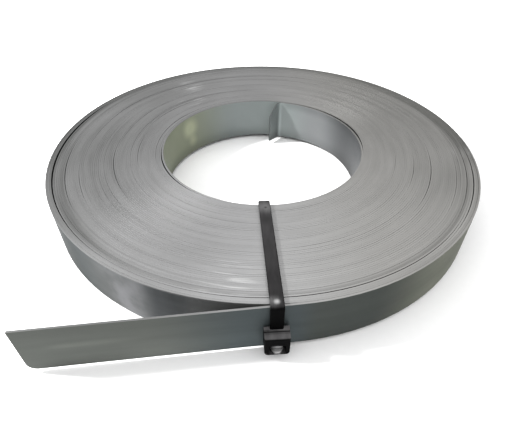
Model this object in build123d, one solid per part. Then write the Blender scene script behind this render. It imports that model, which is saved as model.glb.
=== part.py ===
# Steel strapping coil: one length of flat steel strip wound into a flat coil. Its outer end is left
# straight as a tail, its inner end is bent into a short tab, and a nylon cable tie holds the turns.
#
# Millimetres. The origin is the middle of the coil, on its axis and half-way up, and Z is the axis.
# The cable tie crosses the turns on the -Y side, where the tail runs off towards -X. Angles are in
# degrees, anticlockwise from +X as seen from above. The pieces are drawn with the coil's underside
# at z = 0 and lowered at the end.
from build123d import *
import os
from math import cos, radians, sin, sqrt, tan

# The strip
strip_width = 20.0
strip_thickness = 0.8
turn_gap = 0.05  # between a turn and the next, where one end peels off

# The coil
bore_radius = 45.6
bore_shift = (0.5, -0.3)  # from the coil's axis to the middle of the bore
outer_radius = 96.7
turns_per_band = 5  # turns that stand level with each other
end_relief = 0.32  # how far the bands of turns stand out of line, on either end
relief_levels = 5

# The outer end, which leaves the coil as a straight tail
tail_angle = 277.0
tail_length = 88.0
tail_corner_radius = 3.2

# The inner end, which is bent into the bore as a tab with one corner clipped off
tab_angle = 76.0
tab_length = 6.8
tab_bend = 62.0
tab_bend_radius = 1.8
tab_clip = 5.4

# The crescent of air where the outer turns have sprung open
loose_turns = 3
loose_play = 0.25  # air among the loose turns
slack_width = 1.05
slack_end_width = 0.15
slack_start = 152.0
slack_end = 236.0

# The cable tie
tie_width = 4.45
tie_thickness = 1.2
tie_edge_chamfer = 0.25
tie_clearance = 0.25  # to the steel
tie_bore_clearance = 0.45  # in the bore, where the strap crosses the wall a little askew
tie_direction = 273.8
tie_offset = -2.5  # the tie's middle plane crosses the X axis here
tie_bend_radius = 0.3
tie_end_height = 2.45  # underside of the cut end, where it leaves the head
tie_end_bend_radius = 0.6
tie_end_clip = 1.4
tie_root_height = 8.0  # where the strap grows out of the head

# The head of the tie
head_width = 8.4
head_depth = 4.8
head_low = 1.5
head_high = 10.9
head_top_fall = 0.5  # how far its top drops towards the front
head_rounding = 0.7
head_corner_rounding = 1.3
groove_depth = 0.3  # across its top
groove_width = 1.0
slot_width = 5.6
slot_height = 2.4
slot_clearance = 0.2
mouth_height = 4.5  # the slot opens into a wider mouth at the front
mouth_depth = 2.2
mouth_rounding = 0.9
pawl_width = 3.6
pawl_depth = 2.2
pawl_clearance = 0.12

coil_height = strip_width + end_relief


def polar(radius, angle):
    """The point at this radius and angle, seen from above."""
    return Vector(radius * cos(radians(angle)), radius * sin(radians(angle)))


def one_turn(first_radius, last_radius, angle):
    """One turn of a spiral, anticlockwise from the angle, as two half circles that meet smoothly."""
    middle_radius = (first_radius + last_radius) / 2
    arcs = []
    for start, end, at in ((first_radius, middle_radius, angle), (middle_radius, last_radius, angle + 180)):
        first, last = polar(start, at), polar(end, at + 180)
        crown = (first + last) / 2 + polar((start + end) / 2, at + 90)
        arcs.append(ThreePointArc(first, crown, last))
    return arcs


def outer_outline():
    """The outside of the last turn, with the straight tail that it runs into."""
    along = polar(tail_length, tail_angle - 90)
    outside = polar(outer_radius, tail_angle)
    inside = polar(outer_radius - strip_thickness, tail_angle)
    under = polar(outer_radius - strip_thickness - turn_gap, tail_angle)
    turn = one_turn(outer_radius, outer_radius - strip_thickness - turn_gap, tail_angle)
    tail = Polyline(under, inside, inside + along, outside + along, outside)
    return make_face(turn + [tail])


def bore_outline():
    """The inside of the first turn, with the tab that its end is bent into."""
    inside = polar(bore_radius, tab_angle)
    outside = polar(bore_radius + strip_thickness, tab_angle)
    wall = polar(bore_radius + strip_thickness + turn_gap, tab_angle)
    turn = one_turn(bore_radius + strip_thickness + turn_gap, bore_radius, tab_angle)
    heading = polar(1, tab_angle + 90)
    bent_heading = polar(1, tab_angle + 90 + tab_bend)
    inner_bend = JernArc(inside, heading, tab_bend_radius, tab_bend)
    outer_bend = JernArc(outside, heading, tab_bend_radius + strip_thickness, tab_bend)
    tip = inner_bend @ 1 + bent_heading * tab_length
    outer_tip = outer_bend @ 1 + bent_heading * tab_length
    end = Polyline(inner_bend @ 1, tip, outer_tip, outer_bend @ 1)
    return Pos(*bore_shift) * make_face(turn + [inner_bend, end, outer_bend, Line(outside, wall)])


def band_relief():
    """A turned body whose ends step up and down, from one band of turns to the next."""
    band_width = turns_per_band * strip_thickness
    bands = round((outer_radius - bore_radius) / band_width)
    edges = [0] + [bore_radius + band_width * k for k in range(1, bands)]
    edges.append(outer_radius + tail_length)
    stride = relief_levels // 2 + 1
    levels = [k * stride % relief_levels for k in reversed(range(bands))]
    shifts = [end_relief * level / (relief_levels - 1) for level in levels]
    low = []
    for inner, outer, shift in zip(edges, edges[1:], shifts):
        low += [(inner, shift), (outer, shift)]
    high = [(radius, height + strip_width) for radius, height in reversed(low)]
    profile = Plane.XZ * make_face(Polyline(*low, *high, close=True))
    return revolve(profile, Axis.Z)


def slack():
    """The crescent that stands open between the loose outer turns and the rest."""
    middle = (slack_start + slack_end) / 2
    inside_loose = {
        angle: outer_radius
        - (strip_thickness + turn_gap) * ((angle - tail_angle) % 360) / 360
        - loose_turns * strip_thickness
        - loose_play
        for angle in (slack_start, middle, slack_end)
    }
    widths = {slack_start: slack_end_width, middle: slack_width, slack_end: slack_end_width}
    far = ThreePointArc([polar(inside_loose[angle], angle) for angle in widths])
    near = ThreePointArc([polar(inside_loose[angle] - widths[angle], angle) for angle in widths])
    face = make_face([near, Line(near @ 1, far @ 1), far, Line(far @ 0, near @ 0)])
    return extrude(face, coil_height)


def nearest_edge(solid, point):
    """The edge of the solid whose middle is nearest to the point."""
    return solid.edges().sort_by(lambda edge: (edge.center() - point).length)[0]


def make_coil():
    """The wound strip: one turned body, with the spiral step, tail and tab of its two ends."""
    wound = extrude(outer_outline() - bore_outline(), coil_height) & band_relief()
    wound = wound - slack()
    tail_end = polar(outer_radius - strip_thickness / 2, tail_angle) + polar(tail_length, tail_angle - 90)
    wound = fillet(nearest_edge(wound, tail_end), tail_corner_radius)
    bend_centre = Vector(*bore_shift) + polar(bore_radius - tab_bend_radius, tab_angle)
    tab_middle = bend_centre + polar(tab_bend_radius + strip_thickness / 2, tab_angle + tab_bend)
    tab_tip = tab_middle + polar(tab_length, tab_angle + 90 + tab_bend) + Vector(0, 0, strip_width)
    return chamfer(nearest_edge(wound, tab_tip), tab_clip)


# The tie is drawn in its own upright plane: across the coil from its axis, and up.
tie_plane = Plane(
    origin=(tie_offset, 0, 0),
    x_dir=polar(1, tie_direction),
    z_dir=polar(1, tie_direction - 90),
)
bore_wall_radius = bore_radius + strip_thickness / 2
to_bore = Vector(*bore_shift) - Vector(tie_offset, 0)
bore_ahead = to_bore.dot(polar(1, tie_direction))
bore_at_tie = bore_ahead + sqrt(bore_wall_radius**2 - to_bore.length**2 + bore_ahead**2)
askew = radians(tail_angle - tie_direction)
rim_at_tie = (outer_radius - tie_offset * cos(radians(tail_angle))) / cos(askew)
head_back = rim_at_tie + tie_clearance + head_width / 2 * abs(tan(askew))
head_front = head_back + head_depth


def tie_line(offset):
    """The strap's face at this distance from its inner face: from the head, round, to the cut end."""
    near = bore_at_tie - tie_bore_clearance - offset
    far = head_back + offset
    low = -tie_clearance - offset
    high = coil_height + tie_clearance + offset
    end = tie_end_height + tie_thickness - offset
    turn = tie_bend_radius + offset
    last_turn = tie_end_bend_radius + tie_thickness - offset
    return FilletPolyline(
        (far, tie_root_height),
        (far, high),
        (near, high),
        (near, low),
        (far, low),
        (far, end),
        (head_front, end),
        radius=[turn, turn, turn, turn, last_turn],
    )


def across(face, width):
    """A solid as wide as given, centred on the tie's plane, with this face as its section."""
    return extrude(tie_plane * face, width / 2, both=True)


def rectangle(left, right, bottom, top):
    """A rectangle in the tie's plane."""
    return Pos((left + right) / 2, (bottom + top) / 2) * Rectangle(right - left, top - bottom)


def make_strap():
    """The strap, with its outer edges chamfered and the corners of its cut end clipped off."""
    inner, outer = tie_line(0), tie_line(tie_thickness)
    start, end = Line(inner @ 0, outer @ 0), Line(inner @ 1, outer @ 1)
    strap = across(make_face([inner, end, outer, start]), tie_width)
    tip = tie_plane.origin + tie_plane.x_dir * head_front + Vector(0, 0, tie_end_height + tie_thickness / 2)
    to_side = tie_plane.z_dir * tie_width / 2
    strap = chamfer([nearest_edge(strap, tip + to_side), nearest_edge(strap, tip - to_side)], tie_end_clip)
    top_middle = tie_plane.origin + tie_plane.x_dir * (bore_at_tie + rim_at_tie) / 2
    top_middle += Vector(0, 0, coil_height + tie_clearance + tie_thickness)
    edges = [nearest_edge(strap, top_middle + to_side), nearest_edge(strap, top_middle - to_side)]
    return chamfer(edges, tie_edge_chamfer)


def make_head():
    """The moulded head, with the slot that the cut end comes out of and the pawl that grips it."""
    side = Polyline(
        (head_back, head_low),
        (head_front, head_low),
        (head_front, head_high - head_top_fall),
        (head_back, head_high),
        close=True,
    )
    head = across(make_face(side), head_width)
    outward = tie_plane.x_dir
    lengthwise = [edge for edge in head.edges() if abs((edge % 0.5).dot(outward)) > 0.9]
    under = sorted(lengthwise, key=lambda edge: edge.center().Z)[:2]
    head = fillet(under, head_corner_rounding)
    front = head.faces().sort_by(lambda face: face.center().dot(outward))[-1]
    head = fillet(front.edges(), head_rounding)

    slot_low = tie_end_height - slot_clearance
    slot_high = slot_low + slot_height
    mouth_high = slot_low + mouth_height
    slot = rectangle(head_back, head_front, slot_low, slot_high)
    lip_back = head_back + tie_thickness + tie_end_bend_radius
    entry = rectangle(head_back, lip_back, head_low, slot_high)
    mouth = across(rectangle(head_front - mouth_depth, head_front, slot_low, mouth_high), slot_width)
    mouth_edges = [edge for edge in mouth.edges() if abs((edge % 0.5).dot(outward)) > 0.9]
    mouth = fillet(mouth_edges, mouth_rounding)
    groove_middle = (head_back + head_front) / 2
    groove = rectangle(
        groove_middle - groove_width / 2,
        groove_middle + groove_width / 2,
        head_high - head_top_fall / 2 - groove_depth,
        head_high,
    )
    head = head - across(slot, slot_width) - across(entry, slot_width) - mouth - across(groove, head_width)

    pawl_low = tie_end_height + tie_thickness + pawl_clearance
    pawl_back = head_front - (head_depth + pawl_depth) / 2
    pawl = Polyline(
        (pawl_back, mouth_high + groove_depth),
        (pawl_back + pawl_depth, mouth_high + groove_depth),
        (pawl_back + pawl_depth, pawl_low),
        (pawl_back, slot_high),
        close=True,
    )
    return head + across(make_face(pawl), pawl_width)


def make_tie():
    return make_strap() + make_head()


os.makedirs("parts", exist_ok=True)
for name, drawn in (("strap_coil", make_coil()), ("cable_tie", make_tie())):
    piece = Pos(0, 0, -coil_height / 2) * drawn
    piece.label = name
    export_step(piece, f"parts/{name}.step")
    box = piece.bounding_box()
    print(name, "solids", len(piece.solids()), "valid", piece.is_valid, "volume", round(piece.volume, 1))
    print("  box", [round(v, 3) for v in (*box.min, *box.max)])
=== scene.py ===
# %% [markdown]
# # A coil of steel strapping
#
# The object is one long ribbon of bare steel, wound flat like a clock spring and held by a black
# nylon cable tie. A reader who knows a little Python can follow how each part is made here: first
# the camera and the stage, then the ribbon as one swept mesh, then its steel, then the tie.
#
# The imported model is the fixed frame. It says where everything is, in metres, with the origin in
# the middle of the coil and Z up its axis. Nothing in this lesson moves or resizes it.

# %% Load the frame
import math
import bpy
import numpy as np
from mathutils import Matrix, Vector


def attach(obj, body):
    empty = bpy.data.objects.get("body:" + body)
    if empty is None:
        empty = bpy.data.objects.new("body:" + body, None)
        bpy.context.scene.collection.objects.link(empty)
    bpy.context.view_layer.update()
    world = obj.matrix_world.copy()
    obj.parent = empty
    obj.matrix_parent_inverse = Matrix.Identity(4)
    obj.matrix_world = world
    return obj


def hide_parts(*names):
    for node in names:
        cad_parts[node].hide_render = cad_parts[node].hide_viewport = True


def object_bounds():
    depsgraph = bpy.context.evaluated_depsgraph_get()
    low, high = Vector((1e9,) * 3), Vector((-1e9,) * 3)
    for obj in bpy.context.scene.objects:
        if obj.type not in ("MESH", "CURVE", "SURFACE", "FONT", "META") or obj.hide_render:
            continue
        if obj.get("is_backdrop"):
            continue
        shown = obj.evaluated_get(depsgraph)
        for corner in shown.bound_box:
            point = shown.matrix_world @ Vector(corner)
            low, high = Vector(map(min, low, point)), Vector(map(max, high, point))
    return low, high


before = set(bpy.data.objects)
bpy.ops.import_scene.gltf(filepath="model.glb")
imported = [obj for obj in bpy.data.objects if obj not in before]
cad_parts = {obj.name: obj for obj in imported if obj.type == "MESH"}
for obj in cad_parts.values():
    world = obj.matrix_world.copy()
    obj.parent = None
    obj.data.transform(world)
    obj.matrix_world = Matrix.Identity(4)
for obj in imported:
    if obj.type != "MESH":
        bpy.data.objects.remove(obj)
cad_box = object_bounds()
mm = 0.001
print("nodes in the frame:", sorted(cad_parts))

# %% [markdown]
# ## The camera
#
# The photograph looks down on the coil from close by: the near rim is seen from about 55 degrees
# and the far rim from about 20. A camera that stood further off would flatten that, so its place
# matters more than its lens. It stands 180 mm in front of the coil's axis and 114 mm above its
# middle, pitched down by 43 degrees. A small upward shift frames the coil as the photograph does,
# without tilting the camera any further. Depth of field stays off, so all of the coil is sharp.

# %% Place the camera
camera_place = Vector((-2.6, -180.3, 114.1)) * mm
camera_pitch_down = 43.13
level_pitch = 90.0  # a camera with no rotation looks straight down
photo_width_px = 512
focal_length_px = 430.6
principal_point_drop_px = 30.75
sensor_width = 36.0

camera_data = bpy.data.cameras.new("photo_camera")
camera_data.sensor_width = sensor_width
camera_data.lens = sensor_width * focal_length_px / photo_width_px
camera_data.shift_y = principal_point_drop_px / photo_width_px
camera_data.clip_start = 10 * mm
camera = bpy.data.objects.new("photo_camera", camera_data)
camera.location = camera_place
camera.rotation_euler = (math.radians(level_pitch - camera_pitch_down), 0, 0)
bpy.context.scene.collection.objects.link(camera)
bpy.context.scene.camera = camera
print(f"lens {camera_data.lens:.2f} mm, shift {camera_data.shift_y:.3f}")

# %% [markdown]
# ## Shader sums in plain Python
#
# A procedural material is arithmetic on textures: a bit of noise, times how strong it is, plus a
# base value. Wiring Math nodes by hand hides that, so one small class wraps a node's output and
# lets Python's own operators add the Math nodes. The reflected forms make 1 - mask work as well as
# mask - 1. Colours don't go through Math nodes, because those turn a colour grey: they are blended
# with Mix. Every other node comes from one method, which takes its type, its settings and what
# goes into its sockets.

# %% A class for shader sums
class Signal:
    """One output of a node in the material that is being written."""

    tree = None

    def __init__(self, socket):
        self.socket = socket

    @classmethod
    def start(cls, name):
        """Begins a material and returns it. The signals that follow belong to it."""
        material = bpy.data.materials.new(name)
        material.use_nodes = True
        cls.tree = material.node_tree
        return material

    @classmethod
    def node(cls, kind, settings=None, inputs=None, output=0):
        """Adds a node, sets it up, feeds its sockets and returns one of its outputs."""
        made = cls.tree.nodes.new("ShaderNode" + kind)
        for name, value in (settings or {}).items():
            setattr(made, name, value)
        for name, value in (inputs or {}).items():
            cls.feed(made.inputs[name], value)
        return cls(made.outputs[output])

    @classmethod
    def feed(cls, socket, value):
        """Links a signal to a socket, or sets the socket to a plain value."""
        if isinstance(value, Signal):
            cls.tree.links.new(value.socket, socket)
        else:
            socket.default_value = value

    def math(self, operation, *others, clamp=False):
        inputs = dict(enumerate((self, *others)))
        return Signal.node("Math", {"operation": operation, "use_clamp": clamp}, inputs)

    def clamped(self):
        """The same value, kept between 0 and 1."""
        return self.math("MULTIPLY", 1.0, clamp=True)

    def __add__(self, other):
        return self.math("ADD", other)

    def __sub__(self, other):
        return self.math("SUBTRACT", other)

    def __rsub__(self, other):
        return (self * -1).math("ADD", other)

    def __mul__(self, other):
        return self.math("MULTIPLY", other)

    __radd__ = __add__
    __rmul__ = __mul__


print("operators ready: + - *")

# %% [markdown]
# A few small helpers keep the materials short: a noise texture, a soft step from 0 to 1 between two
# values, a blend of two colours, a pile of tones laid over each other, and the last step that
# every material ends with.

# %% Helpers for materials
def noise(place, scale, detail=3.0, roughness=0.5):
    """Smooth random values around 0.5, at this many grains to the metre."""
    values = {"Vector": place, "Scale": scale, "Detail": detail, "Roughness": roughness}
    return Signal.node("TexNoise", inputs=values)


def soft_step(signal, low, high):
    """0 below low, 1 above high, and a smooth rise between them."""
    settings = {"interpolation_type": "SMOOTHSTEP"}
    return Signal.node("MapRange", settings, {"Value": signal, "From Min": low, "From Max": high})


def rise(place, low, high):
    """From 0 to 1 between two places given in millimetres."""
    return soft_step(place, low * mm, high * mm)


def fall(place, low, high):
    """From 1 to 0 between two places given in millimetres."""
    return 1 - rise(place, low, high)


def tone(red, green, blue):
    return (red, green, blue, 1.0)


def grey(value):
    return tone(value, value, value)


def blend(factor, first, second):
    """A colour between the two, by the factor."""
    inputs = {0: factor, 6: first, 7: second}
    return Signal.node("Mix", {"data_type": "RGBA"}, inputs, output=2)


def painted(colour, layers):
    """Lays tones over a colour one after another, each as strongly as its mask says."""
    for mask, layer in layers:
        colour = blend(mask, colour, layer)
    return colour


def bump(height, distance):
    """A normal from a height between 0 and 1, which stands for this distance in millimetres."""
    return Signal.node("Bump", inputs={"Height": height, "Distance": distance * mm})


def surface(material, constants, **varying):
    """Feeds the material's shader: plain numbers first, then what varies over the surface."""
    shader = material.node_tree.nodes["Principled BSDF"]
    for name, value in constants.items():
        shader.inputs[name].default_value = value
    for name, signal in varying.items():
        Signal.feed(shader.inputs[name.replace("_", " ")], signal)
    print("finish:", material.name, len(material.node_tree.nodes), "nodes")


print("helpers ready, one millimetre is", mm, "in Blender's units")

# %% [markdown]
# ## The stage
#
# The photograph shows the coil on pure white. A pale, plain floor under wide soft light comes
# close to that and still leaves a faint shadow where the coil rests. The floor lies at the height
# of the cable tie's underside, which is the lowest point of the object.

# %% Lay the floor
floor_half_size = 1.5
paper_grain = 400.0
floor_height = cad_box[0][2]
corner_signs = ((-1, -1), (1, -1), (1, 1), (-1, 1))
corners = [(x * floor_half_size, y * floor_half_size, floor_height) for x, y in corner_signs]
floor_mesh = bpy.data.meshes.new("floor")
floor_mesh.from_pydata(corners, [], [(0, 1, 2, 3)])
floor = bpy.data.objects.new("floor", floor_mesh)
bpy.context.scene.collection.objects.link(floor)
paper = Signal.start("pale_paper")
grain = noise(Signal.node("TexCoord", output="Object"), paper_grain)
paper_colour = blend(grain, grey(0.90), grey(0.93))
surface(paper, {"Roughness": 0.9, "Specular IOR Level": 0.2}, Base_Color=paper_colour)
floor_mesh.materials.append(paper)
floor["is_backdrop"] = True
print("floor at", round(floor_height / mm, 2), "mm")

# %% [markdown]
# Metal shows what is around it, so the room matters as much as the lamps. Here it is bright
# overhead and greyer towards the walls. The near turns mirror the ceiling and the far ones the
# walls, which is part of why the coil grows darker towards the back; painted shade in the slit
# edges' colour does the rest. A room with the same light all round would leave the coil one flat
# grey.
#
# One small lamp stands low at the left. It throws the tab's shadow on the bore, as in the
# photograph, and lights the outer wall on that side.

# %% Light the room
wall_brightness = 0.72
ceiling_brightness = 1.62
wall_top, ceiling_start = 0.15, 0.85  # how far up a direction points, from 0 level to 1 upright
world = bpy.data.worlds.new("room")
world.use_nodes = True
Signal.tree = world.node_tree
direction = Signal.node("TexCoord", output="Generated")
height = Signal.node("SeparateXYZ", inputs={"Vector": direction}, output="Z")
upward = soft_step(height, wall_top, ceiling_start)
brightness = wall_brightness + upward * (ceiling_brightness - wall_brightness)
background = world.node_tree.nodes["Background"]
background.inputs["Color"].default_value = grey(1.0)
Signal.feed(background.inputs["Strength"], brightness)
bpy.context.scene.world = world
bpy.context.scene.view_settings.view_transform = "Standard"

lamp_place = Vector((-0.70, -0.01, 0.56))
lamp_size, lamp_power = 0.10, 16.0  # in metres and watts
lamp_data = bpy.data.lights.new("low_left", "AREA")
lamp_data.size = lamp_size
lamp_data.energy = lamp_power
lamp = bpy.data.objects.new("low_left", lamp_data)
lamp.location = lamp_place
lamp.rotation_euler = (-lamp_place).to_track_quat("-Z", "Y").to_euler()
bpy.context.scene.collection.objects.link(lamp)
print("lamp", round(lamp_place.length / mm), "mm from the coil's middle")

# %% [markdown]
# ## The ribbon
#
# The strip was rolled and slit in one length, so it is made here in one length too: a flat section
# swept along one path, from the bent tab in the bore, round sixty turns, to the straight tail.
# A stack of rings would be simpler, but then the ends would have nowhere to go, and no turn would
# lie a thickness further out on one side than on the other, as the real ones do.
#
# The sizes come first, in millimetres. They are the solid's own sizes. The strip is a little under
# its nominal thickness, as rolled strip is, and that leaves the air between the turns.

# %% Sizes of the strip and the coil
strip_width = 20.0
strip_thickness = 0.785
edge_bevel = 0.03
bore_radius = 45.6
bore_shift = np.array([0.5, -0.3])
outer_radius = 96.65
tail_angle = 277.0
tail_length = 88.0
tail_corner_radius = 3.2
tail_drop = 0.08  # how far the tail lies below the middle height
tab_angle = 76.0
tab_length = 6.8
tab_bend = 62.0
tab_bend_radius = 1.8
tab_clip = 5.4
steps_per_turn = 120
full_turns = 61


def polar(radius, angle):
    """Points at these radii and angles, in the plane of the coil."""
    angle = np.radians(angle)
    return np.stack([radius * np.cos(angle), radius * np.sin(angle)], axis=-1)


tab_root = bore_shift + polar(bore_radius, tab_angle)
first_angle = math.degrees(math.atan2(tab_root[1], tab_root[0]))
turns = full_turns + ((first_angle - tail_angle) % 360) / 360
pitch = (outer_radius - strip_thickness - bore_radius) / turns
print(f"{turns:.2f} turns, one every {pitch:.3f} mm")

# %% [markdown]
# ## Air between the turns
#
# A hand-wound coil is never quite tight. Here and there a turn stands off its neighbour for a third
# of a circle, and the eye reads those dark arcs as the coil's grain. The widest are at the left,
# where the outer three turns have sprung open, and round the first turn in the bore.
#
# Each arc is written as a place: how many turns in from the outside it lies, where along the circle
# it is widest, how far it reaches to either side, and how wide it is. The path is a number line of
# turns counted from the tab, so an arc is a bump on that line.

# %% Where the turns stand apart
loose_arcs = [
    # turns in, widest at, reach before, reach after, width
    (3, 168, 24, 76, 0.88),
    (1, 170, 46, 38, 0.22),
    (4, 284, 40, 60, 0.19),
    (9, 195, 22, 24, 0.28),
    (6, 180, 14, 12, 0.09),
    (16, 203, 14, 14, 0.15),
    (18, 272, 34, 30, 0.09),
    (24, 340, 24, 26, 0.24),
    (31, 285, 14, 24, 0.09),
    (33, 341, 14, 14, 0.14),
    (34, 198, 28, 28, 0.22),
    (42, 262, 38, 40, 0.06),
    (43, 344, 14, 14, 0.08),
    (47, 184, 18, 20, 0.16),
    (1, 350, 40, 34, 0.15),
    (3, 342, 30, 26, 0.40),
    (6, 345, 28, 22, 0.22),
    (9, 352, 24, 24, 0.08),
    (11, 340, 20, 18, 0.13),
    (60, 205, 32, 46, 0.50),
    (61, 20, 32, 70, 0.90),
]


def place_on_path(turns_in, angle):
    """Where the strip passes this angle, this many turns in from the outside."""
    return turns - ((angle - tail_angle) % 360) / 360 - turns_in


def hump(distance, before, after):
    """A smooth bump that is 1 at distance 0 and falls to 0 at either reach."""
    reach = np.where(distance < 0, before, after)
    inside = np.abs(distance) < reach
    return np.where(inside, 0.5 + 0.5 * np.cos(np.pi * distance / reach), 0.0)


print(len(loose_arcs), "arcs, the widest", max(width for *_, width in loose_arcs), "mm")

# %% [markdown]
# ## Winding the coil
#
# Room is left over after those arcs. Shared out evenly it would draw sixty lines of the same
# strength, which is what a machine-made coil looks like. Here a smooth random number says how much
# of it each turn gets at each place, so that most turns lie tight and a few stand a hair apart.
# Towards the front right the coil is calmest, so there the room is shared out more evenly.
#
# The random numbers have a seed, so the coil is the same on every run.

# %% Wind it
seed = 7
random_numbers = np.random.default_rng(seed)
calmest_angle = 310.0
least_share, calm_share = 0.02, 0.25
patches_per_turn = 4.3


def wander(steps, per_turn, amount):
    """A smooth random line along the path, with this many random values to a turn."""
    values = random_numbers.uniform(-1, 1, int(steps[-1] * per_turn) + 3)
    place = steps * per_turn
    index = place.astype(int)
    part = place - index
    part = part * part * (3 - 2 * part)  # eases from one value into the next
    return amount * (values[index] * (1 - part) + values[index + 1] * part)


def bore_edge(angle):
    """How far the bore's wall is from the coil's axis at these angles."""
    ahead = polar(1.0, angle) @ bore_shift
    return ahead + np.sqrt(bore_radius**2 - bore_shift @ bore_shift + ahead**2)


def wind():
    """The path: turns from the tab, angle, and radius of the strip's inner face at every step."""
    steps = np.arange(round(turns * steps_per_turn) + 1) / steps_per_turn
    angles = first_angle - 360 * steps
    air = np.zeros_like(steps)
    for turns_in, angle, before, after, width in loose_arcs:
        # The strip runs clockwise, so what comes before on the circle comes after on the path.
        distance = steps - place_on_path(turns_in, angle)
        air += width * hump(distance, after / 360, before / 360)
    radii = bore_edge(angles) + pitch * steps
    tightest = math.inf
    evenly = 0.5 + 0.5 * np.cos(np.radians(angles - calmest_angle))
    peaks = np.clip(wander(steps, patches_per_turn, 1.0), 0, None) ** 3
    share = least_share + calm_share * evenly + peaks
    for place in range(steps_per_turn):
        here = slice(place, None, steps_per_turn)
        layers = len(steps[here])
        outermost = outer_radius - strip_thickness - pitch * (turns - steps[here][-1])
        spare = outermost - radii[here][0] - strip_thickness * (layers - 1)
        spare -= air[here][:-1].sum()
        gaps = air[here][:-1] + spare * share[here][:-1] / share[here][:-1].sum()
        radii[here][1:] = radii[here][0] + np.cumsum(strip_thickness + gaps)
        tightest = min(tightest, gaps.min())
    print("least air between turns:", round(float(tightest), 4), "mm")
    return steps, angles, radii


steps, angles, radii = wind()

# %% [markdown]
# ## How the turns stand
#
# Slit strip also wanders up and down a little as it is wound, so the upper edges aren't level. A
# few hundredths of a millimetre are enough: the light catches one turn and misses the next, and
# the arcs come and go along the circle. A random height every few turns, joined smoothly, gives
# that. A shorter wander lies on top of it, and a livelier one on the outer turns, which were
# handled most.
#
# The last half turn settles to the height of the tail, which is held level by the tie.

# %% Let the turns wander
# Random values to a turn, and the height in millimetres.
short_wander = (2.3, 0.012)
long_wander = (0.31, 0.06)
handled_wander = (3.1, 0.08)
handled_turns, handled_fade = 9, 3
settling_turns = 0.5

handled = np.clip((steps - turns + handled_turns) / handled_fade, 0, 1)
heights = wander(steps, *short_wander) + wander(steps, *long_wander)
heights = heights + wander(steps, *handled_wander) * handled
free = np.clip((steps[-1] - steps) / settling_turns, 0, 1)
heights = heights * free - tail_drop * (1 - free)
print("turns wander by", round(float(np.ptp(heights)), 3), "mm")

# %% [markdown]
# ## One section after another
#
# The path is a list of sections. Each has a point on the strip's inner face, a point on its outer
# face, and the heights of its lower and upper edge. The winding gives most of them. The tab adds a
# tight bend and a short straight piece before, and the tail adds a straight piece after.
#
# The two ends are cut as the real ones are. The tab's upper corner is clipped off, so its top edge
# drops towards the tip. The tail's lower corner is rounded, so its lower edge rises near the end.

# %% List the sections
tab_bend_sections, tab_straight_sections = 13, 15
tail_straight_sections, tail_corner_sections = 45, 9


def wound_sections():
    """The turns, as they were wound."""
    inner = polar(radii, angles)
    outer = polar(radii + strip_thickness, angles)
    return inner, outer, heights - strip_width / 2, heights + strip_width / 2


def tab_sections():
    """From the tip of the tab to the start of the first turn."""
    centre = bore_shift + polar(bore_radius - tab_bend_radius, tab_angle)
    bend = tab_angle + np.linspace(tab_bend, 0, tab_bend_sections)
    run = np.linspace(tab_length, 0, tab_straight_sections)[:-1]
    heading = polar(1.0, tab_angle + 90 + tab_bend)
    straight = run[:, None] * heading
    inner = centre + polar(tab_bend_radius, bend)
    outer = centre + polar(tab_bend_radius + strip_thickness, bend)
    inner = np.concatenate([inner[0] + straight, inner[:-1]])
    outer = np.concatenate([outer[0] + straight, outer[:-1]])
    from_tip = np.concatenate([tab_length - run, np.full(len(bend) - 1, tab_length)])
    low = np.full(len(inner), heights[0] - strip_width / 2)
    high = low + strip_width - np.clip(tab_clip - from_tip, 0, None)
    return inner, outer, low, high


def tail_sections():
    """From the last turn to the end of the tail."""
    quarter = np.linspace(0, np.pi / 2, tail_corner_sections)
    rounding = tail_corner_radius * (1 - np.cos(quarter))
    # The last two even steps would fall in the rounded corner, which has steps of its own.
    run = np.linspace(0, tail_length, tail_straight_sections)[1:-2]
    run = np.concatenate([run, tail_length - rounding[::-1]])
    heading = polar(1.0, tail_angle - 90)
    inner = polar(radii[-1], tail_angle) + run[:, None] * heading
    outer = polar(radii[-1] + strip_thickness, tail_angle) + run[:, None] * heading
    beyond = np.clip(run - (tail_length - tail_corner_radius), 0, tail_corner_radius)
    lifted = tail_corner_radius - np.sqrt(tail_corner_radius**2 - beyond**2)
    low = np.full(len(run), heights[-1] - strip_width / 2)
    return inner, outer, low + lifted, low + strip_width


parts = [tab_sections(), wound_sections(), tail_sections()]
inner, outer, low, high = (np.concatenate(column) for column in zip(*parts))
lengths = np.linalg.norm(np.diff((inner + outer) / 2, axis=0), axis=1)
along = np.concatenate([[0], np.cumsum(lengths)])
turn = np.concatenate([np.zeros(len(parts[0][2])), steps, np.full(len(parts[2][2]), turns)])
print(len(inner), "sections,", round(along[-1] * mm, 2), "m of strip")

# %% [markdown]
# ## From sections to a mesh
#
# Each section becomes eight points: the four sides of the strip, with its corners taken off by a
# few hundredths of a millimetre, as the slitting knives leave them. Joining each point to the same
# one in the next section gives the sides, and a cap closes either end. At the right of the bore the
# first turn has sprung off its neighbour, and its lower edge leans in further than its upper one.
# NumPy makes all the points at once, which is quick even for a few thousand sections.

# %% Build the strip
lean_width = 0.9
lean_at, lean_before, lean_after = 0.19, 0.17, 0.20  # in turns from the tab


def section_points():
    """Eight points to a section, in metres, from the lower inner corner round to the upper one."""
    across = (outer - inner) / np.linalg.norm(outer - inner, axis=1, keepdims=True)
    near, far = inner + across * edge_bevel, outer - across * edge_bevel
    lean = across * (lean_width * hump(turn - lean_at, lean_before, lean_after))[:, None]
    rim = [
        (inner - lean, low + edge_bevel),
        (near - lean, low),
        (far - lean, low),
        (outer - lean, low + edge_bevel),
        (outer, high - edge_bevel),
        (far, high),
        (near, high),
        (inner, high - edge_bevel),
    ]
    points = [np.concatenate([place, height[:, None]], axis=1) for place, height in rim]
    return np.stack(points, axis=1) * mm


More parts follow.
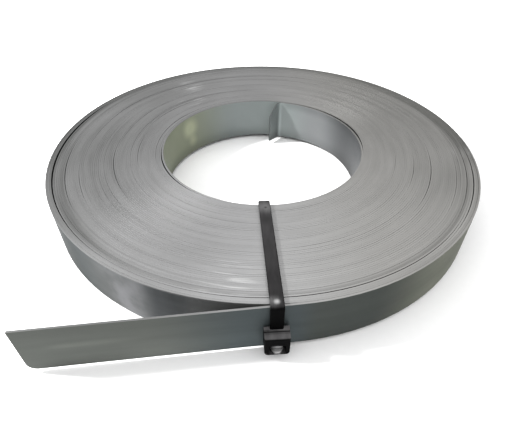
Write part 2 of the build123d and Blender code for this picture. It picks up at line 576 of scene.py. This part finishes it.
points = section_points()
count, sides = points.shape[:2]
first = (np.arange(count - 1)[:, None] * sides + np.arange(sides)).ravel()
second = (np.arange(count - 1)[:, None] * sides + (np.arange(sides) + 1) % sides).ravel()
quads = np.stack([first, second, second + sides, first + sides], axis=1)
caps = [list(range(sides)), list(range(count * sides - 1, (count - 1) * sides - 1, -1))]
strip_mesh = bpy.data.meshes.new("wound_strip")
strip_mesh.from_pydata(points.reshape(-1, 3).tolist(), [], quads.tolist() + caps)
print(len(strip_mesh.vertices), "points,", len(strip_mesh.polygons), "faces")

# %% [markdown]
# The faces are of three kinds, and each will get its own finish: the slit edges with their bevels,
# the side of the strip that faces out, and the side that faces the bore. Two numbers are kept on
# every point for the materials: how far along the strip it lies, and which turn it is on.

# %% Mark the kinds of face
edge_finish, outer_finish, inner_finish = 0, 1, 2
outer_side, inner_side = 3, 7  # which of a section's eight sides are the broad ones
sharpest_smooth_bend = math.radians(30)

kinds = np.full(sides, edge_finish)
kinds[outer_side], kinds[inner_side] = outer_finish, inner_finish
slots = np.concatenate([np.tile(kinds, count - 1), [edge_finish, edge_finish]])
strip_mesh.polygons.foreach_set("material_index", slots.astype(np.int32))
strip_mesh.polygons.foreach_set("use_smooth", np.ones(len(slots), dtype=bool))
strip_mesh.update()
strip_mesh.set_sharp_from_angle(angle=sharpest_smooth_bend)
for name, values in (("along", along * mm), ("turn", turn)):
    attribute = strip_mesh.attributes.new(name, "FLOAT", "POINT")
    attribute.data.foreach_set("value", np.repeat(values, sides).astype(np.float32))
print("kinds of face:", {int(kind): int((slots == kind).sum()) for kind in set(slots)})

# %% [markdown]
# The strip is now an object. It rides on the only body that the imported model has, and takes the
# place of the solid coil.

# %% Put the strip in the frame
strip = bpy.data.objects.new("wound_strip", strip_mesh)
bpy.context.scene.collection.objects.link(strip)
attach(strip, "root")
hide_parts("strap_coil")
print("the strip rides on root")

# %% [markdown]
# ## Places for the noise
#
# The materials need three ways to say where a point is. On the strip itself it is the way along it
# and the number of its turn, from the numbers that the points carry. On the coil as a whole it is
# the direction and the distance from the axis, which gives arcs that cross from turn to turn. And
# a single mark, such as a smear, needs no more than the distance from one spot.

# %% Ways to place the noise
def mesh_number(name):
    """A number that the points of the strip carry."""
    return Signal.node("Attribute", {"attribute_name": name}, output="Fac")


def from_tip():
    """How far along the strip a point lies, from the tip of the tab, in metres."""
    return mesh_number("along")


def from_free_end():
    """How far back from the free end of the tail a point lies, in metres."""
    return float(along[-1] * mm) - mesh_number("along")


def object_place():
    return Signal.node("TexCoord", output="Object")


def coordinate(letter):
    """One coordinate of a point of the object, in metres."""
    return Signal.node("SeparateXYZ", inputs={"Vector": object_place()}, output=letter)


def vector_math(operation, *vectors, output=0):
    inputs = dict(enumerate(vectors))
    return Signal.node("VectorMath", {"operation": operation}, inputs, output=output)


def square_to_axis():
    """The part of a point's place that is square to the coil's axis."""
    return vector_math("MULTIPLY", object_place(), (1, 1, 0))


def axis_distance():
    """How far a point is from the coil's axis, in metres."""
    return vector_math("LENGTH", square_to_axis(), output="Value")


def strip_place(along_scale, turn_scale):
    """A place for noise that runs along the strip and differs from turn to turn."""
    inputs = {"X": from_tip() * along_scale, "Y": mesh_number("turn") * turn_scale}
    return Signal.node("CombineXYZ", inputs=inputs)


def ring_place(around_scale, across_scale):
    """A place for noise that runs round the coil in arcs."""
    layer = Signal.node("CombineXYZ", inputs={"Z": axis_distance() * across_scale})
    heading = vector_math("NORMALIZE", square_to_axis())
    return vector_math("MULTIPLY_ADD", heading, (around_scale,) * 3, layer)


def spot(centre, reach):
    """1 at a point of the object and 0 from this far off, both in millimetres."""
    point = tuple(value * mm for value in centre)
    distance = vector_math("DISTANCE", object_place(), point, output="Value")
    return fall(distance, 0.0, reach)


def stretch(place, start, full, fade, end):
    """1 on a stretch of the strip, given in millimetres, with soft ends."""
    return rise(place, start, full) * fall(place, fade, end)


def scaled(colour, amount):
    """A colour made lighter or darker by a number."""
    return Signal.node("VectorMath", {"operation": "SCALE"}, {0: colour, "Scale": amount})


print("one turn is", round(pitch, 3), "mm, the measure for noise across the turns")

# %% [markdown]
# ## The slit edges
#
# Seen from above, the coil is nothing but slit edges: a sheared surface, matt and pale, with fine
# marks along the strip. One noise over all of it would lie across the turns like a cloud. A single
# turn is hardly lighter or darker than its neighbours, and what shows is groups of turns that were
# wound a little higher or lower. So most of the variation belongs to rings that run round the coil,
# and only a little to the turns and to broad clouds. The outer turns were handled and vary more.

# %% Variation of the slit edges
edge_steel = Signal.start("slit_edge")
x, y = coordinate("X"), coordinate("Y")
leftward = x * -1
radius = axis_distance()
rings = noise(ring_place(2.2, 420.0), 1.0, detail=4.0, roughness=0.6)
turn_marks = noise(strip_place(14.0, 2.3), 1.0)
clouds = noise(object_place(), 22.0)
handling = rise(radius, 85, 90) * (noise(strip_place(6.0, 1.9), 1.0) - 0.5)
variation = (rings - 0.5) * 0.25 + (turn_marks - 0.5) * 0.12 + (clouds - 0.5) * 0.25
shade = 0.68 + variation + handling * 0.6
print("variation of the slit edges:", len(Signal.tree.nodes), "nodes")

# %% [markdown]
# Then come the places that are darker than the rest, most of them painted shade. The far side is
# painted darker, a painted reflection of the greyer walls, and its outer turns most of all, with
# painted shade. Both sides are painted a little darker than the front, and so is the side where the
# lamp stands, so that its light comes out even; the sprung turns at the left get the painted shade
# of their open gaps. The turns inside the open crescent, a ring just inside the near rim, the back
# of the bore's edge and the top edge of the tail are darker too. Each is a mask from 0 to 1 with a
# number that says how much darker it is there. A list of them is easier to read, and to change,
# than one long sum.

# %% Darker places and painted shade
rim = rise(radius, 92.3, 93.4)
far_rim = rise(radius, 89, 93) * rise(y, -26, 0)
in_crescent = (1 - rim) * rise(radius, 86.5, 89.5) * fall(y, -32, -12)
near_ring = rise(radius, 89.8, 91.2) * fall(radius, 92, 93.2) * fall(y, -60, -20)
bore_edge_turns = 1 - soft_step(mesh_number("turn"), 0.8, 2.2)
painted_shade_and_tone = [
    # mask, how much darker
    # painted shade: the far side as a painted reflection of the greyer walls, both sides, and the
    # lamp's side to even out its light
    (rise(y, -88, 60), 0.37),  # the far side
    (rise(x.math("ABSOLUTE"), 15, 75), 0.14),  # both sides
    (rise(leftward, 0, 66) * fall(y, -20, 40), 0.22),  # the side where the lamp stands
    # painted shade on the far rim, more of it at the right
    (far_rim, 0.16),
    (far_rim * rise(x, 50, 80), 0.18),  # more of it at the right
    # painted shade for the open gaps of the sprung turns at the left
    (rim * rise(leftward, 60, 84), 0.10),  # the sprung turns at the left
    (in_crescent * rise(leftward, 38, 66), 0.13),
    (rim * fall(y, -90, -66), 0.04),  # the near rim
    (near_ring, 0.20),
    (fall(from_free_end(), 70, 95), 0.25),  # the top edge of the tail
    (bore_edge_turns * rise(y, 0, 25), 0.20),
    # painted shade, to even out the lamp's light left of the tie
    (spot((-26, -74, 10), 34), 0.12),  # left of the tie
    (spot((78, -30, 10), 26), 0.08),  # right of the tie
    (spot((-52, -16, 10), 30), -0.10),  # left of the bore, the one place that is lighter
]
for mask, depth in painted_shade_and_tone:
    shade = shade - mask * depth
print(len(painted_shade_and_tone), "places, the dullest by", max(depth for mask, depth in painted_shade_and_tone))

# %% [markdown]
# The shade picks a grey between the darkest and the palest, which turns a little warmer towards
# the right. A few pale scuffs lie across the turns, and just left of the tie the same pale lines
# are a painted sheen. They are short lines, so the scuff itself is a noise that runs round the
# coil, cut off by a spot. The tab was snipped by hand, and its cut edge is much duller than the
# slit ones.
#
# All of it is bare metal. The shear marks are a bump only a few hundredths of a millimetre deep.

# %% Finish the slit edges
darkest_edge, palest_edge = tone(0.106, 0.107, 0.105), tone(0.392, 0.392, 0.396)
warmth = (1.01, 0.995, 0.955)
scuff_spots = [
    # place, reach, strength
    ((-42, 65, 10), 12, 0.5),
    ((-38, 47, 10), 9, 0.7),
    ((91.6, -7, 10), 7.5, 0.25),
]
shear_depth = 0.03

edge_colour = blend(shade.clamped(), darkest_edge, palest_edge)
warmer = vector_math("MULTIPLY", edge_colour, warmth)
# painted sheen: the pale streak left of the tie, in the same lines as the scuffs elsewhere
scuffs_and_sheen = spot((-11, -87, 10), 14) * (1 - rim) * 0.72  # left of the tie, and not on the rim
for place, reach, strength in scuff_spots:
    scuffs_and_sheen = scuffs_and_sheen + spot(place, reach) * strength
scuff_and_sheen_lines = soft_step(noise(ring_place(5.0, 900.0), 1.0, detail=2.0), 0.50, 0.66)
snipped = fall(from_tip(), tab_length, tab_length + 3)
edge_colour = painted(
    edge_colour,
    [
        (rise(x, -10, 50), warmer),
        ((scuff_and_sheen_lines * scuffs_and_sheen * 0.7).clamped(), grey(0.60)),
        (snipped, tone(0.110, 0.120, 0.118)),
    ],
)
surface(
    edge_steel,
    {"Metallic": 1.0},
    Base_Color=edge_colour,
    Roughness=0.46 + rings * 0.14 + snipped * 0.4,
    Normal=bump(noise(strip_place(900.0, 40.0), 1.0), shear_depth),
)

# %% [markdown]
# ## The rolled faces
#
# The broad faces are rolled steel with a thin grey coat: cloudy, with faint lines along the strip.
# Only the last metre of the outer side is ever seen, and it isn't the same all over. Noise alone
# wouldn't know that, so each stretch is placed by its distance back from the strip's free end. The
# tail is a greenish grey, it turns blue and dark by the tie, then olive as the wall goes round
# to the right. At the left the wall is pale, with a white bloom on the coat, and it is painted
# darker again where it goes in behind the tail, a painted shadow of the tail. Little light comes
# into the wedge there, so deeper in it the coat is painted paler than it looks, as painted light.

# %% Tones of the outer side
outer_steel = Signal.start("outer_face")
z = coordinate("Z")
from_end = from_free_end()
clouds = noise(object_place(), 34.0, detail=4.0, roughness=0.6)
patches = noise(object_place(), 95.0, detail=3.0, roughness=0.6)
# painted shade on the hidden faces between the turns
between_turns_shade = tone(0.010, 0.011, 0.011)  # painted shade, between the turns
outer_stretches = [
    # start, full, fade and end, in millimetres back from the free end, and the tone
    ((-9, -5, 660, 800), tone(0.0535, 0.0635, 0.0658)),  # dark and blue, under all the others
    ((-9, -5, 38, 72), tone(0.0895, 0.0953, 0.0877)),  # the tail
    ((86, 95, 128, 150), tone(0.0535, 0.0595, 0.0555)),  # right of the tie
    ((112, 146, 172, 196), tone(0.152, 0.159, 0.131)),  # olive at the right
    ((176, 200, 230, 300), tone(0.040, 0.043, 0.038)),  # the right end
    ((520, 560, 596, 612), tone(0.050, 0.056, 0.056)),  # the left end
    ((598, 622, 640, 657), tone(0.112, 0.117, 0.116)),  # pale at the left
    # painted light deep in the wedge, where little light comes in
    ((636, 660, 700, 760), tone(0.170, 0.172, 0.172)),  # deep in the wedge
]
layers = [(stretch(from_end, *reach), layer) for reach, layer in outer_stretches]
bloom = stretch(from_end, 612, 626, 632, 645) * soft_step(patches * 0.5 + clouds * 0.5, 0.36, 0.62)
# painted shadow of the tail, where the wall goes in behind it
into_wedge = stretch(from_end, 634, 643, 648, 659)
layers += [(bloom * 0.65, tone(0.25, 0.25, 0.262)), (into_wedge, tone(0.072, 0.076, 0.079))]
colour = painted(between_turns_shade, layers)
print(len(layers), "tones along", outer_stretches[0][0][-1], "mm of the outer side")

# %% [markdown]
# Small marks go on top: the upper edge is rubbed bright at the left, the back of the tab is clean
# and pale, and a faint streak runs along the tail. Fine lines from the rolls run along the strip.
# The wall and the tail are painted paler low down, painted light from the floor, and near the top
# the tail and the wall by the tie are painted a little darker, painted shade.
#
# A real coat isn't a bare mirror. Part of the light sinks in and comes back out as from paint, so
# the faces are only partly metallic, and shadows show on them.

# %% Finish the outer side of the strip
streak_height, streak_half_width = 0.9, 2.0
cloud_depth = 0.2

rubbed_edge = rise(z, 9.1, 9.8) * stretch(from_end, 575, 600, 690, 740)
back_of_tab = fall(from_tip(), 12, 20)
off_streak = (z - streak_height * mm).math("ABSOLUTE")
streak = stretch(from_end, 6, 14, 24, 42) * fall(off_streak, 0.0, streak_half_width)
colour = painted(
    colour,
    [
        (rubbed_edge * 0.7, grey(0.24)),
        (back_of_tab, tone(0.15, 0.165, 0.16)),
        (streak * 0.22, tone(0.20, 0.21, 0.19)),
    ],
)
draw_lines = noise(strip_place(16.0, 0.0), 1.0)
line_place = Signal.node("CombineXYZ", inputs={"X": from_tip() * 25.0, "Y": z * 420.0})
across_lines = noise(line_place, 1.0)
variation = 0.80 + clouds * 0.26 + (draw_lines - 0.5) * 0.16 + (across_lines - 0.5) * 0.22
# painted light: paler low down, from the floor; painted shade: darker near the top by the tie
towards_floor = fall(z, -10.5, 2) * fall(from_end, 250, 400)
floor_light = 0.10 + rise(from_end, 6, 24) * 0.32 + stretch(from_end, 10, 40, 78, 96) * 0.45
towards_top = rise(z, 2, 9) * fall(from_end, 110, 140)
variation = variation * (1 + towards_floor * floor_light) * (1 - towards_top * 0.14)
surface(
    outer_steel,
    {"Metallic": 0.7, "Specular IOR Level": 0.2, "Specular Tint": grey(0.4)},
    Base_Color=scaled(colour, variation),
    Roughness=0.42 + clouds * 0.16,
    Normal=bump(clouds, cloud_depth),
)

# %% [markdown]
# The side that faces the bore was never handled, so it is clean and pale, brightest just right of
# the tab. The lamp shines on that half, and its coat is painted darker there to come out even,
# painted shade, and darker still at the right end, a painted reflection of the bore's dark left
# wall. At the left it is painted greenish, a painted reflection, with a yellowish painted highlight
# that runs down like a drop. That goes for the first turn alone. The turns behind it are painted
# dark, like the hidden outer faces: painted shade, so that the gaps between turns look as deep as
# they are. The back of the tail is plain steel again.

# %% Tones of the side that faces the bore
inner_steel = Signal.start("bore_face")
x, z = coordinate("X"), coordinate("Z")
leftward = x * -1
clouds = noise(object_place(), 38.0, detail=3.0)
clean_face, lamp_half_shade = tone(0.178, 0.202, 0.199), tone(0.130, 0.136, 0.139)
yellow_highlight = spot((-36.6, 26.0, 4.0), 7.5) + spot((-35.8, 27.1, -3.4), 4.5) * 0.6
behind_first_turn = soft_step(mesh_number("turn"), 1.0, 1.03)
colour = painted(
    clean_face,
    [
        # painted shade on the right half, where the lamp shines
        (rise(x, 12, 30), lamp_half_shade),
        # painted reflection of the bore's dark left wall at the right end
        (rise(x, 30, 44), tone(0.028, 0.030, 0.032)),  # the right end
        (rise(leftward, 14, 40), tone(0.160, 0.176, 0.120)),  # greenish, a painted reflection
        # painted highlight, yellowish, at the left
        ((yellow_highlight * 1.36).clamped(), tone(0.275, 0.295, 0.195)),
        # painted shade on the turns behind the first
        (behind_first_turn, between_turns_shade),
        (fall(from_free_end(), 80, 125), tone(0.10, 0.107, 0.10)),  # the back of the tail
    ],
)
print("tones of the bore's side:", len(Signal.tree.nodes), "nodes")

# %% [markdown]
# The bore is painted darker along its lower edge, painted shade where less light comes in, and a
# little under the rim at the right. The tab is painted darker too, painted shade as it stands in
# its own shadow, and a thin bright line down its bend is a painted highlight.

# %% Finish the side that faces the bore
along_tab = from_tip()
on_tab = fall(along_tab, tab_length - 0.8, tab_length + 0.2)
on_bend = stretch(along_tab, *(tab_length + past for past in (0.4, 1.2, 1.6, 3)))
# painted shade along the lower edge and on the tab
low_edge = fall(z, -10.5, -3) * (0.25 + rise(leftward, 36, 45) * 0.12 + on_tab * 0.3)
low_right = fall(z, -10, -1) * rise(x, 37, 45)
under_rim = rise(z, 5, 9.5) * rise(x, 11, 15)
variation = (0.79 + clouds * 0.42) * (1 - low_edge)
variation = variation * (1 - low_right * 0.45) * (1 - under_rim * 0.25)
# painted shade on the tab and a painted highlight down its bend
variation = variation * (1 - on_tab * 0.32 + on_bend * 0.30)
surface(
    inner_steel,
    {"Metallic": 0.15},
    Base_Color=scaled(colour, variation),
    Roughness=0.42 + clouds * 0.14,
    Normal=bump(clouds, cloud_depth),
)
for material in (edge_steel, outer_steel, inner_steel):
    strip_mesh.materials.append(material)

# %% [markdown]
# ## The cable tie
#
# The tie is one moulding of black nylon. The solid already has its shape, so it stays as it is and
# only gets its finish. Where it faces up it is a warm dark grey, a painted sheen with dust in it,
# and where it faces sideways it is almost black. The painted sheen is weaker towards the rim and
# strongest on the head, most of all on the step behind its groove, where it is painted light that
# stands against the shade there.

# %% Dust and painted sheen on the cable tie
nylon = Signal.start("black_nylon")
y, z = coordinate("Y"), coordinate("Z")
grain = noise(object_place(), 900.0)
dust_place = vector_math("MULTIPLY", object_place(), (600, 120, 300))
dust = noise(dust_place, 1.0, detail=4.0, roughness=0.6)
normal = Signal.node("NewGeometry", output="Normal")
facing_up = Signal.node("SeparateXYZ", inputs={"Vector": normal}, output="Z")
# painted light on the head, strongest on the step behind its groove, where shade falls
on_head = fall(y, -96.4, -95.9) * fall(z, 3, 7)
behind_groove = on_head * rise(y, -99.2, -98.6)
towards_rim = fall(y, -96, -52)
# painted sheen where the tie faces up, with dust
sheen_and_dust = soft_step(facing_up, 0.45, 0.95) * (0.45 + dust)
sheen_and_dust = sheen_and_dust * (0.73 - towards_rim * 0.30 + on_head * 0.95 + behind_groove * 2.2)
colour = blend(grain, tone(0.0018, 0.0018, 0.002), grey(0.003))
colour = blend((sheen_and_dust * 0.25).clamped(), colour, tone(0.140, 0.136, 0.139))
print("dust on the tie:", len(Signal.tree.nodes), "nodes")

# %% [markdown]
# Where the strap bends over the rim there is a pale painted highlight, and the cut end that shows
# in the head's mouth is painted light grey, painted light on its upturned face. The strap's end at
# the bore has a pale painted highlight too, where it bends down, with a dark dot in it and a darker
# patch before it.

# %% Finish the cable tie
bend_at_rim, beside_bend = (3.8, -96.2, 11.3), (3.0, -96.0, 11.3)
bore_end, dark_dot, dark_patch = (0.9, -49.6, 11.5), (1.1, -49.9, 11.5), (1.2, -57.0, 11.5)
cut_end = (4.5, -102.0, -6.0)
grain_depth = 0.03

# painted highlight on the bend at the rim
bend_highlight = spot(bend_at_rim, 1.5) * (0.4 + dust) + spot(beside_bend, 3.0) * dust * 0.4
colour = painted(
    colour,
    [
        ((bend_highlight * 0.6).clamped(), grey(0.40)),
        # painted highlight where the strap bends down into the bore
        (spot(bore_end, 5.0) * (0.3 + dust) * 0.22, grey(0.30)),
        (spot(dark_patch, 4.5) * dust, grey(0.012)),
        (spot(dark_dot, 0.9), grey(0.02)),
        # painted light on the cut end's upturned face
        ((spot(cut_end, 2.8) * 1.5).clamped(), grey(0.26)),
    ],
)
surface(
    nylon,
    {"IOR": 1.53, "Specular IOR Level": 0.005},
    Base_Color=colour,
    Roughness=0.34 + grain * 0.14,
    Normal=bump(grain, grain_depth),
)
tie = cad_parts["cable_tie"]
tie.data.materials.clear()
tie.data.materials.append(nylon)

# %% [markdown]
# ## Sizes for the record
#
# The dressed object has to stay inside the box of the solids. Both boxes are printed, so that they
# can be compared after each run.

# %% Print the sizes
boxes = {
    "cad": [list(corner) for corner in cad_box],
    "visual": [list(corner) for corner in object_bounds()],
}
for name, box in boxes.items():
    print(name, "box in mm:", [[round(value / mm, 2) for value in corner] for corner in box])
